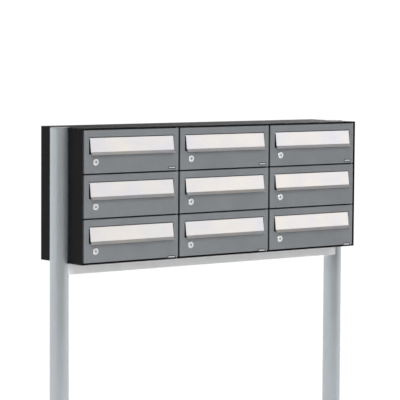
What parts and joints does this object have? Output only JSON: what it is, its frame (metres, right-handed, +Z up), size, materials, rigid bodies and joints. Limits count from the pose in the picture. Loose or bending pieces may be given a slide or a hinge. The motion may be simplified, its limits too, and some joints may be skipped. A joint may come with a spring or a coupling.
{
  "type": "cluster mailbox unit",
  "caption": "Bank of wide letterboxes in a dark sheet metal casing between two round posts, each with a hinged door, a letter flap and a cylinder lock.",
  "frame": {"origin": "centre of the unit's footprint, on the ground", "axes": "+Z up, +X to the right along the row of doors, doors face -Y"},
  "size_m": [1.38, 0.254, 1.45],
  "materials": {
    "door_coat": "fine-textured mid-grey powder coat",
    "casing_coat": "fine-textured near-black powder coat",
    "stainless": "stainless sheet, fine brushing along its length",
    "lock_face": "nickel-plated, satin",
    "lock_plug": "nickel-plated plug, zinc-plated cam",
    "anodised_post": "natural anodised, satin",
    "post_cap": "fine-textured grey plastic",
    "crossbar_coat": "light grey satin coat",
    "galvanised": "hot-dip galvanised, light spangle",
    "zinc_hardware": "zinc-plated"
  },
  "bodies": {
    "root": {"post_left": "anodised_post", "post_right": "anodised_post", "post_cap_left": "post_cap", "post_cap_right": "post_cap", "base_plate_left": "galvanised", "base_plate_right": "galvanised", "crossbar": "crossbar_coat", "side_panel_left": "casing_coat", "side_panel_right": "casing_coat", "roof_panel": "casing_coat", "floor_panel": "casing_coat", "back_panel": "casing_coat", "divider_left": "casing_coat", "divider_right": "casing_coat", "shelf_upper": "casing_coat", "shelf_lower": "casing_coat", "hinge_pins": "zinc_hardware", "strike_brackets": "zinc_hardware", "post_bolts": "zinc_hardware", "floor_bolts": "zinc_hardware", "foot_screws": "zinc_hardware"},
    "door_r1c1": {"door_panel_r1c1": "door_coat", "lock_housing_r1c1": "lock_face"},
    "flap_body_r1c1": {"flap_r1c1": "stainless"},
    "lock_r1c1": {"lock_cam_r1c1": "lock_plug"},
    "door_r1c2": {"door_panel_r1c2": "door_coat", "lock_housing_r1c2": "lock_face"},
    "flap_body_r1c2": {"flap_r1c2": "stainless"},
    "lock_r1c2": {"lock_cam_r1c2": "lock_plug"},
    "door_r1c3": {"door_panel_r1c3": "door_coat", "lock_housing_r1c3": "lock_face"},
    "flap_body_r1c3": {"flap_r1c3": "stainless"},
    "lock_r1c3": {"lock_cam_r1c3": "lock_plug"},
    "door_r2c1": {"door_panel_r2c1": "door_coat", "lock_housing_r2c1": "lock_face"},
    "flap_body_r2c1": {"flap_r2c1": "stainless"},
    "lock_r2c1": {"lock_cam_r2c1": "lock_plug"},
    "door_r2c2": {"door_panel_r2c2": "door_coat", "lock_housing_r2c2": "lock_face"},
    "flap_body_r2c2": {"flap_r2c2": "stainless"},
    "lock_r2c2": {"lock_cam_r2c2": "lock_plug"},
    "door_r2c3": {"door_panel_r2c3": "door_coat", "lock_housing_r2c3": "lock_face"},
    "flap_body_r2c3": {"flap_r2c3": "stainless"},
    "lock_r2c3": {"lock_cam_r2c3": "lock_plug"},
    "door_r3c1": {"door_panel_r3c1": "door_coat", "lock_housing_r3c1": "lock_face"},
    "flap_body_r3c1": {"flap_r3c1": "stainless"},
    "lock_r3c1": {"lock_cam_r3c1": "lock_plug"},
    "door_r3c2": {"door_panel_r3c2": "door_coat", "lock_housing_r3c2": "lock_face"},
    "flap_body_r3c2": {"flap_r3c2": "stainless"},
    "lock_r3c2": {"lock_cam_r3c2": "lock_plug"},
    "door_r3c3": {"door_panel_r3c3": "door_coat", "lock_housing_r3c3": "lock_face"},
    "flap_body_r3c3": {"flap_r3c3": "stainless"},
    "lock_r3c3": {"lock_cam_r3c3": "lock_plug"}
  },
  "joints": [
    {"name": "door_hinge_r1c1", "type": "hinge", "parent": "root", "child": "door_r1c1", "pos_m": [-0.208, -0.109, 1.372], "axis": [0, 0, 1], "range_deg": [0, 95]},
    {"name": "flap_hinge_r1c1", "type": "hinge", "parent": "door_r1c1", "child": "flap_body_r1c1", "pos_m": [-0.4, -0.1098, 1.4166], "axis": [-1, 0, 0], "range_deg": [0, 75]},
    {"name": "lock_turn_r1c1", "type": "hinge", "parent": "door_r1c1", "child": "lock_r1c1", "pos_m": [-0.549, -0.113, 1.338], "axis": [0, 1, 0], "range_deg": [0, 90]},
    {"name": "door_hinge_r1c2", "type": "hinge", "parent": "root", "child": "door_r1c2", "pos_m": [0.192, -0.109, 1.372], "axis": [0, 0, 1], "range_deg": [0, 95]},
    {"name": "flap_hinge_r1c2", "type": "hinge", "parent": "door_r1c2", "child": "flap_body_r1c2", "pos_m": [0, -0.1098, 1.4166], "axis": [-1, 0, 0], "range_deg": [0, 75]},
    {"name": "lock_turn_r1c2", "type": "hinge", "parent": "door_r1c2", "child": "lock_r1c2", "pos_m": [-0.149, -0.113, 1.338], "axis": [0, 1, 0], "range_deg": [0, 90]},
    {"name": "door_hinge_r1c3", "type": "hinge", "parent": "root", "child": "door_r1c3", "pos_m": [0.592, -0.109, 1.372], "axis": [0, 0, 1], "range_deg": [0, 95]},
    {"name": "flap_hinge_r1c3", "type": "hinge", "parent": "door_r1c3", "child": "flap_body_r1c3", "pos_m": [0.4, -0.1098, 1.4166], "axis": [-1, 0, 0], "range_deg": [0, 75]},
    {"name": "lock_turn_r1c3", "type": "hinge", "parent": "door_r1c3", "child": "lock_r1c3", "pos_m": [0.251, -0.113, 1.338], "axis": [0, 1, 0], "range_deg": [0, 90]},
    {"name": "door_hinge_r2c1", "type": "hinge", "parent": "root", "child": "door_r2c1", "pos_m": [-0.208, -0.109, 1.224], "axis": [0, 0, 1], "range_deg": [0, 95]},
    {"name": "flap_hinge_r2c1", "type": "hinge", "parent": "door_r2c1", "child": "flap_body_r2c1", "pos_m": [-0.4, -0.1098, 1.2686], "axis": [-1, 0, 0], "range_deg": [0, 75]},
    {"name": "lock_turn_r2c1", "type": "hinge", "parent": "door_r2c1", "child": "lock_r2c1", "pos_m": [-0.549, -0.113, 1.19], "axis": [0, 1, 0], "range_deg": [0, 90]},
    {"name": "door_hinge_r2c2", "type": "hinge", "parent": "root", "child": "door_r2c2", "pos_m": [0.192, -0.109, 1.224], "axis": [0, 0, 1], "range_deg": [0, 95]},
    {"name": "flap_hinge_r2c2", "type": "hinge", "parent": "door_r2c2", "child": "flap_body_r2c2", "pos_m": [0, -0.1098, 1.2686], "axis": [-1, 0, 0], "range_deg": [0, 75]},
    {"name": "lock_turn_r2c2", "type": "hinge", "parent": "door_r2c2", "child": "lock_r2c2", "pos_m": [-0.149, -0.113, 1.19], "axis": [0, 1, 0], "range_deg": [0, 90]},
    {"name": "door_hinge_r2c3", "type": "hinge", "parent": "root", "child": "door_r2c3", "pos_m": [0.592, -0.109, 1.224], "axis": [0, 0, 1], "range_deg": [0, 95]},
    {"name": "flap_hinge_r2c3", "type": "hinge", "parent": "door_r2c3", "child": "flap_body_r2c3", "pos_m": [0.4, -0.1098, 1.2686], "axis": [-1, 0, 0], "range_deg": [0, 75]},
    {"name": "lock_turn_r2c3", "type": "hinge", "parent": "door_r2c3", "child": "lock_r2c3", "pos_m": [0.251, -0.113, 1.19], "axis": [0, 1, 0], "range_deg": [0, 90]},
    {"name": "door_hinge_r3c1", "type": "hinge", "parent": "root", "child": "door_r3c1", "pos_m": [-0.208, -0.109, 1.076], "axis": [0, 0, 1], "range_deg": [0, 95]},
    {"name": "flap_hinge_r3c1", "type": "hinge", "parent": "door_r3c1", "child": "flap_body_r3c1", "pos_m": [-0.4, -0.1098, 1.1206], "axis": [-1, 0, 0], "range_deg": [0, 75]},
    {"name": "lock_turn_r3c1", "type": "hinge", "parent": "door_r3c1", "child": "lock_r3c1", "pos_m": [-0.549, -0.113, 1.042], "axis": [0, 1, 0], "range_deg": [0, 90]},
    {"name": "door_hinge_r3c2", "type": "hinge", "parent": "root", "child": "door_r3c2", "pos_m": [0.192, -0.109, 1.076], "axis": [0, 0, 1], "range_deg": [0, 95]},
    {"name": "flap_hinge_r3c2", "type": "hinge", "parent": "door_r3c2", "child": "flap_body_r3c2", "pos_m": [0, -0.1098, 1.1206], "axis": [-1, 0, 0], "range_deg": [0, 75]},
    {"name": "lock_turn_r3c2", "type": "hinge", "parent": "door_r3c2", "child": "lock_r3c2", "pos_m": [-0.149, -0.113, 1.042], "axis": [0, 1, 0], "range_deg": [0, 90]},
    {"name": "door_hinge_r3c3", "type": "hinge", "parent": "root", "child": "door_r3c3", "pos_m": [0.592, -0.109, 1.076], "axis": [0, 0, 1], "range_deg": [0, 95]},
    {"name": "flap_hinge_r3c3", "type": "hinge", "parent": "door_r3c3", "child": "flap_body_r3c3", "pos_m": [0.4, -0.1098, 1.1206], "axis": [-1, 0, 0], "range_deg": [0, 75]},
    {"name": "lock_turn_r3c3", "type": "hinge", "parent": "door_r3c3", "child": "lock_r3c3", "pos_m": [0.251, -0.113, 1.042], "axis": [0, 1, 0], "range_deg": [0, 90]}
  ]
}
